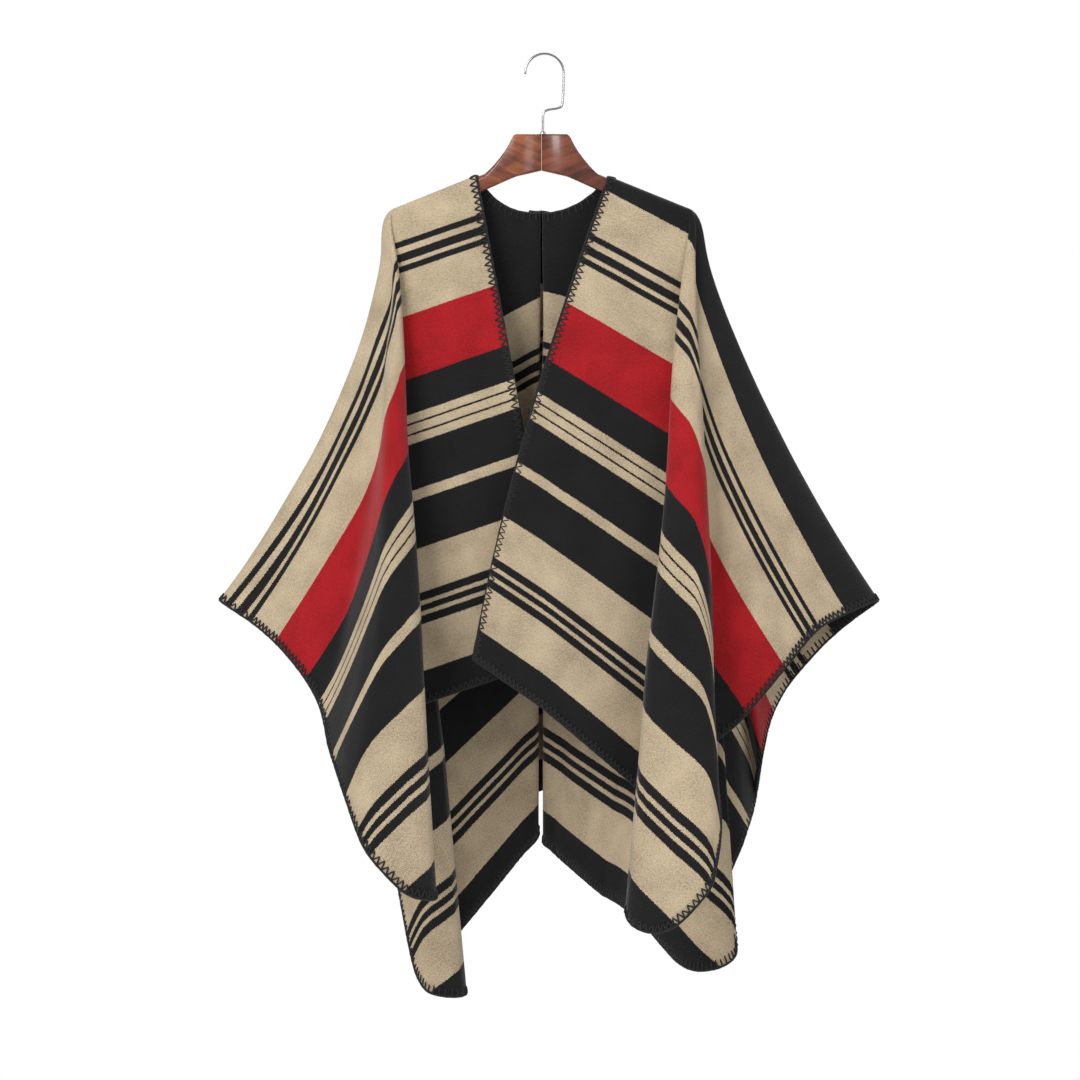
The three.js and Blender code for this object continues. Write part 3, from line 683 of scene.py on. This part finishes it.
def smoothed_copy(node_name, new_name, angle):
    """A copy of a node with its corners joined and its rounded faces shaded smooth."""
    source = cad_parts[node_name]
    mesh = source.data.copy()
    mesh.materials.clear()
    piece = finished_object(new_name, mesh)
    shape = bmesh.new()
    shape.from_mesh(mesh)
    bmesh.ops.remove_doubles(shape, verts=shape.verts, dist=0.01 * MM)
    shape.to_mesh(mesh)
    shape.free()
    bpy.ops.object.select_all(action="DESELECT")
    bpy.context.view_layer.objects.active = piece
    piece.select_set(True)
    bpy.ops.object.shade_smooth_by_angle(angle=radians(angle))
    piece.select_set(False)
    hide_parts(node_name)
    return piece


# Hook wire: straight and curved runs along its middle, in mm across and up
WIRE_ROUND = 1.5
HOOK_CENTRE = (-0.6, -23.1)
HOOK_RADIUS = 24.6
JOG = [(23.6, -42), (22.6, -60), (20.6, -66.4), (14, -68.8), (4.6, -70.2), (-1, -73.2), (-2.6, -79)]
STEM = [(-2.6, -90), (-2.6, -101.3)]


def wire_knots():
    knots = []
    for angle in range(184, -1, -8):
        a = radians(angle)
        knots.append((HOOK_CENTRE[0] + HOOK_RADIUS * cos(a), HOOK_CENTRE[1] + HOOK_RADIUS * sin(a)))
    return [Vector((x, 0, z)) for x, z in knots + JOG + STEM]


def through(knots, steps):
    """A smooth line through knots."""
    line = []
    for k in range(len(knots) - 1):
        a, b = knots[k], knots[k + 1]
        before = knots[k - 1] if k else a
        after = knots[k + 2] if k + 2 < len(knots) else b
        for j in range(steps):
            t = j / steps
            line.append(
                0.5 * ((2 * a) + (b - before) * t + (2 * before - 5 * a + 4 * b - after) * t * t
                       + (3 * a - before - 3 * b + after) * t ** 3)
            )
    line.append(knots[-1])
    return line


def make_hook():
    shape = bmesh.new()
    path = through(wire_knots(), 4)
    rounds = [WIRE_ROUND * sqrt(min(1, 0.35 + k / 3)) for k in range(len(path))]
    tube(shape, path, rounds, 14)
    hook = yarn_piece("hook", shape)
    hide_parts("hook_wire")
    return hook


# Finishes
class Amount:
    """A number that changes over a surface. Sums and products of these add their Math nodes."""

    def __init__(self, finish, socket):
        self.finish = finish
        self.socket = socket

    def maths(self, operation, *values):
        node = self.finish.node("ShaderNodeMath", {"operation": operation}, dict(enumerate(values)))
        return Amount(self.finish, node.outputs[0])

    def __add__(self, other):
        return self.maths("ADD", self, other)

    def __sub__(self, other):
        return self.maths("SUBTRACT", self, other)

    def __mul__(self, other):
        return self.maths("MULTIPLY", self, other)

    def __abs__(self):
        return self.maths("ABSOLUTE", self)

    def sine(self):
        return self.maths("SINE", self)

    def clamped(self):
        return self.finish.amount("ShaderNodeClamp", {}, {"Value": self})


class Finish:
    """One material made of nodes, ending in a Principled shader."""

    def __init__(self, name):
        self.material = bpy.data.materials.new(name)
        self.material.use_nodes = True
        self.tree = self.material.node_tree
        self.tree.nodes.clear()

    def node(self, kind, settings=None, inputs=None):
        made = self.tree.nodes.new(kind)
        for key, value in (settings or {}).items():
            if key == "stops":
                self.set_stops(made.color_ramp, value)
            else:
                setattr(made, key, value)
        for key, value in (inputs or {}).items():
            socket = made.inputs[key]
            if isinstance(value, Amount):
                value = value.socket
            if isinstance(value, bpy.types.NodeSocket):
                self.tree.links.new(value, socket)
            else:
                socket.default_value = value
        return made

    @staticmethod
    def set_stops(ramp, stops):
        while len(ramp.elements) > 1:
            ramp.elements.remove(ramp.elements[-1])
        ramp.elements[0].position, ramp.elements[0].color = stops[0]
        for position, colour in stops[1:]:
            ramp.elements.new(position).color = colour

    def amount(self, kind, settings=None, inputs=None, output=0):
        return Amount(self, self.node(kind, settings, inputs).outputs[output])

    def scaled(self, vector, factors):
        settings = {"operation": "MULTIPLY"}
        return self.node("ShaderNodeVectorMath", settings, {0: vector, 1: factors}).outputs[0]

    def bump(self, strength, distance, height):
        inputs = {"Strength": strength, "Distance": distance, "Height": height}
        return self.node("ShaderNodeBump", {}, inputs).outputs[0]

    def noise(self, vector, scale, detail=2, roughness=0.5):
        inputs = {"Vector": vector, "Scale": scale, "Detail": detail, "Roughness": roughness}
        return self.amount("ShaderNodeTexNoise", {}, inputs, "Fac")

    def mixed(self, factor, first, second, how="MIX"):
        settings = {"data_type": "RGBA", "blend_type": how}
        return self.node("ShaderNodeMix", settings, {0: factor, 6: first, 7: second}).outputs[2]

    def close(self, surface, normal=None):
        shader = self.node("ShaderNodeBsdfPrincipled", {}, surface)
        if normal is not None:
            self.tree.links.new(normal, shader.inputs["Normal"])
        end = self.node("ShaderNodeOutputMaterial", {}, {"Surface": shader.outputs[0]})
        end.is_active_output = True
        return self.material


def rgb(red, green, blue):
    return (red, green, blue, 1)


CLOTH_COLOURS = {
    "black": rgb(0.011, 0.011, 0.012),
    "sand": rgb(0.57, 0.46, 0.31),
    "red": rgb(0.42, 0.01, 0.015),
}
KNIT_ACROSS = 2.7
KNIT_ALONG = 2.3
CHART_FROM = -20
CHART_TO = 640


def cloth_finish():
    """Brushed striped knit: the stripe chart, the fine knit with painted shade in its hollows, and a soft
    speckled nap.
    """
    finish = Finish("brushed striped knit")
    uv = finish.node("ShaderNodeUVMap", {"uv_map": "cut"}).outputs[0]
    place = finish.scaled(uv, (1500, 1000, 1))
    parts = finish.node("ShaderNodeSeparateXYZ", {}, {0: place})
    across, along = Amount(finish, parts.outputs[0]), Amount(finish, parts.outputs[1])
    grain = finish.noise(place, 0.55, 2, 0.6)
    ragged = along + (grain - 0.5) * 3.2 + (across * (2 * pi / KNIT_ACROSS)).sine() * 0.35
    from_band = abs(ragged - (BACK_LENGTH - BAND_HALF)) - BAND_HALF
    share = (from_band - CHART_FROM) * (1 / (CHART_TO - CHART_FROM))
    chart_width = CHART_TO - CHART_FROM
    stops = [(max(at - CHART_FROM, 0) / chart_width, CLOTH_COLOURS[colour]) for at, colour in STRIPES]
    chart = finish.node("ShaderNodeValToRGB", {"stops": stops}, {"Fac": share})
    chart.color_ramp.interpolation = "CONSTANT"
    column = (across * (2 * pi / KNIT_ACROSS)).sine()
    row = (along * (2 * pi / KNIT_ALONG) + (across * (pi / KNIT_ACROSS)).sine() * 1.4).sine()
    knit = column * row
    speckle = finish.noise(place, 0.42, 3, 0.7)
    patches = finish.noise(place, 0.02, 3, 0.55)
    # Random speckle and patches of tone, plus painted shade: the colour darkens where the knit is low, in the
    # hollows between stitches
    speckle_and_knit_shade = (speckle * 0.62 + knit * 0.1 + patches * 0.35).clamped()
    speckle_and_knit_shade_stops = [(0.3, rgb(0.48, 0.44, 0.42)), (0.5, rgb(0.93, 0.93, 0.93)), (0.68, rgb(1.24, 1.22, 1.2))]
    speckle_and_knit_shade_tint = finish.node("ShaderNodeValToRGB", {"stops": speckle_and_knit_shade_stops}, {"Fac": speckle_and_knit_shade}).outputs[0]
    coloured = finish.mixed(1, chart.outputs[0], speckle_and_knit_shade_tint, "MULTIPLY")
    hairs = finish.noise(finish.scaled(place, (1.5, 0.3, 1)), 0.9, 3, 0.75)
    nap = ((hairs - 0.56) * 2.4).clamped()
    napped = finish.mixed(nap * 0.05, coloured, rgb(0.6, 0.58, 0.55))
    height = knit * 0.5 + speckle * 1.2 + hairs * 0.5
    bump = finish.bump(0.55, 0.0007, height)
    surface = {
        "Base Color": napped, "Roughness": 0.92, "Sheen Weight": 0.22, "Sheen Roughness": 0.45,
        "Specular IOR Level": 0.2,
    }
    return finish.close(surface, bump)


def yarn_finish():
    finish = Finish("black wool yarn")
    place = finish.node("ShaderNodeTexCoord").outputs["Object"]
    fluff = finish.noise(place, 900, 3, 0.7)
    colour = finish.mixed(fluff, rgb(0.006, 0.006, 0.007), rgb(0.028, 0.028, 0.03))
    bump = finish.bump(0.5, 0.0005, fluff)
    surface = {"Base Color": colour, "Roughness": 0.85, "Sheen Weight": 0.15, "Specular IOR Level": 0.25}
    return finish.close(surface, bump)


def wood_finish(name, dark, mid, light, tilt, figure):
    """Stained and lacquered hardwood: long grain, a slanting figure and fine pores."""
    finish = Finish(name)
    place = finish.node("ShaderNodeTexCoord").outputs["Object"]
    turned = finish.node("ShaderNodeMapping", {}, {"Vector": place, "Rotation": (0, tilt, 0)}).outputs[0]
    grain = finish.noise(finish.scaled(turned, (9, 60, 90)), 1.6, 5, 0.62)
    slanted = finish.node("ShaderNodeMapping", {}, {"Vector": place, "Rotation": (0, figure, 0)}).outputs[0]
    flame = finish.noise(finish.scaled(slanted, (14, 30, 48)), 1.3, 3, 0.55)
    pores = finish.noise(finish.scaled(turned, (60, 500, 900)), 1, 2, 0.6)
    mix = grain * 0.62 + flame * 0.5 - 0.06
    stains = [(0.34, dark), (0.5, mid), (0.68, light)]
    stain = finish.node("ShaderNodeValToRGB", {"stops": stains}, {"Fac": mix}).outputs[0]
    dark_pores = ((pores - 0.62) * 5).clamped()
    colour = finish.mixed(dark_pores * 0.55, stain, dark)
    bump = finish.bump(0.15, 0.0003, pores)
    surface = {"Base Color": colour, "Roughness": 0.38, "Coat Weight": 0.35, "Coat Roughness": 0.18}
    return finish.close(surface, bump)


def nickel_finish():
    finish = Finish("polished nickel")
    place = finish.node("ShaderNodeTexCoord").outputs["Object"]
    smear = finish.noise(place, 60, 3, 0.6)
    rough = smear * 0.16 + 0.12
    surface = {"Base Color": rgb(0.42, 0.42, 0.42), "Metallic": 1, "Roughness": rough}
    return finish.close(surface)


def plain_finish(name, colour, roughness):
    finish = Finish(name)
    place = finish.node("ShaderNodeTexCoord").outputs["Object"]
    mottle = finish.noise(place, 3, 2, 0.5)
    shade = finish.mixed(mottle, colour, rgb(*(c * 0.97 for c in colour[:3])))
    return finish.close({"Base Color": shade, "Roughness": roughness})


def dress(piece, material):
    piece.data.materials.clear()
    piece.data.materials.append(material)


cloth = make_cloth()
edge_cord = make_edge_cord()
edge_zigzag = make_zigzag()
edge_bars = make_bars()
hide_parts("front_left", "front_right", "back")
wood_left = smoothed_copy("hanger_left", "hanger_arm_left", 40)
wood_right = smoothed_copy("hanger_right", "hanger_arm_right", 40)
hook = make_hook()
collar = smoothed_copy("hook_collar", "hook_ferrule", 40)

yarn = yarn_finish()
nickel = nickel_finish()
dress(cloth, cloth_finish())
for stitches in (edge_cord, edge_zigzag, edge_bars):
    dress(stitches, yarn)
dress(
    wood_left,
    wood_finish(
        "chestnut stained wood", rgb(0.085, 0.02, 0.008), rgb(0.24, 0.062, 0.022), rgb(0.4, 0.125, 0.045),
        radians(-22), radians(40),
    ),
)
dress(
    wood_right,
    wood_finish(
        "red brown stained wood", rgb(0.05, 0.012, 0.006), rgb(0.15, 0.034, 0.014), rgb(0.25, 0.065, 0.026),
        radians(22), radians(12),
    ),
)
dress(hook, nickel)
dress(collar, nickel)

# Floor, light and camera
FLOOR_Z = -1.62
bpy.ops.mesh.primitive_circle_add(vertices=96, radius=1.5, fill_type="NGON", location=(0, 0, FLOOR_Z))
floor = bpy.context.object
floor.name = "pale_floor"
floor.data.materials.append(plain_finish("pale floor", rgb(0.86, 0.86, 0.86), 0.7))


def soft_light(name, place, target, size, power):
    lamp = bpy.data.lights.new(name, "AREA")
    lamp.shape = "SQUARE"
    lamp.size = size
    lamp.energy = power
    holder = bpy.data.objects.new(name, lamp)
    holder.location = place
    holder.rotation_euler = (Vector(target) - Vector(place)).to_track_quat("-Z", "Y").to_euler()
    bpy.context.scene.collection.objects.link(holder)


LOOK_AT = (0, 0, -0.6)
soft_light("key", (-1.9, -2.6, 1.1), LOOK_AT, 1.6, 86)
soft_light("fill", (2.4, -2.4, 0.2), LOOK_AT, 1.8, 26)
soft_light("rim", (0.6, 2.2, 0.9), LOOK_AT, 1.6, 24)

# A pale room, at its brightest straight behind the object
world = bpy.data.worlds.new("white room")
bpy.context.scene.world = world
world.use_nodes = True
sky = world.node_tree
background = sky.nodes["Background"]
background.inputs[0].default_value = rgb(1, 1, 1)
direction = sky.nodes.new("ShaderNodeSeparateXYZ")
sky.links.new(sky.nodes.new("ShaderNodeTexCoord").outputs["Generated"], direction.inputs[0])
behind = sky.nodes.new("ShaderNodeMapRange")
for socket, value in {"From Min": 0.9, "From Max": 0.96, "To Min": 0.45, "To Max": 1}.items():
    behind.inputs[socket].default_value = value
sky.links.new(direction.outputs["Y"], behind.inputs["Value"])
sky.links.new(behind.outputs[0], background.inputs[1])

CAMERA_X = -0.0064
CAMERA_DISTANCE = 6
CAMERA_Z = -0.6208
CAMERA_LENS = 156.3
camera_data = bpy.data.cameras.new("camera")
camera_data.sensor_width = 36
camera_data.lens = CAMERA_LENS
camera = bpy.data.objects.new("camera", camera_data)
camera.location = (CAMERA_X, -CAMERA_DISTANCE, CAMERA_Z)
camera.rotation_euler = (pi / 2, 0, 0)
bpy.context.scene.collection.objects.link(camera)
bpy.context.scene.camera = camera
bpy.context.scene.view_settings.view_transform = "Standard"
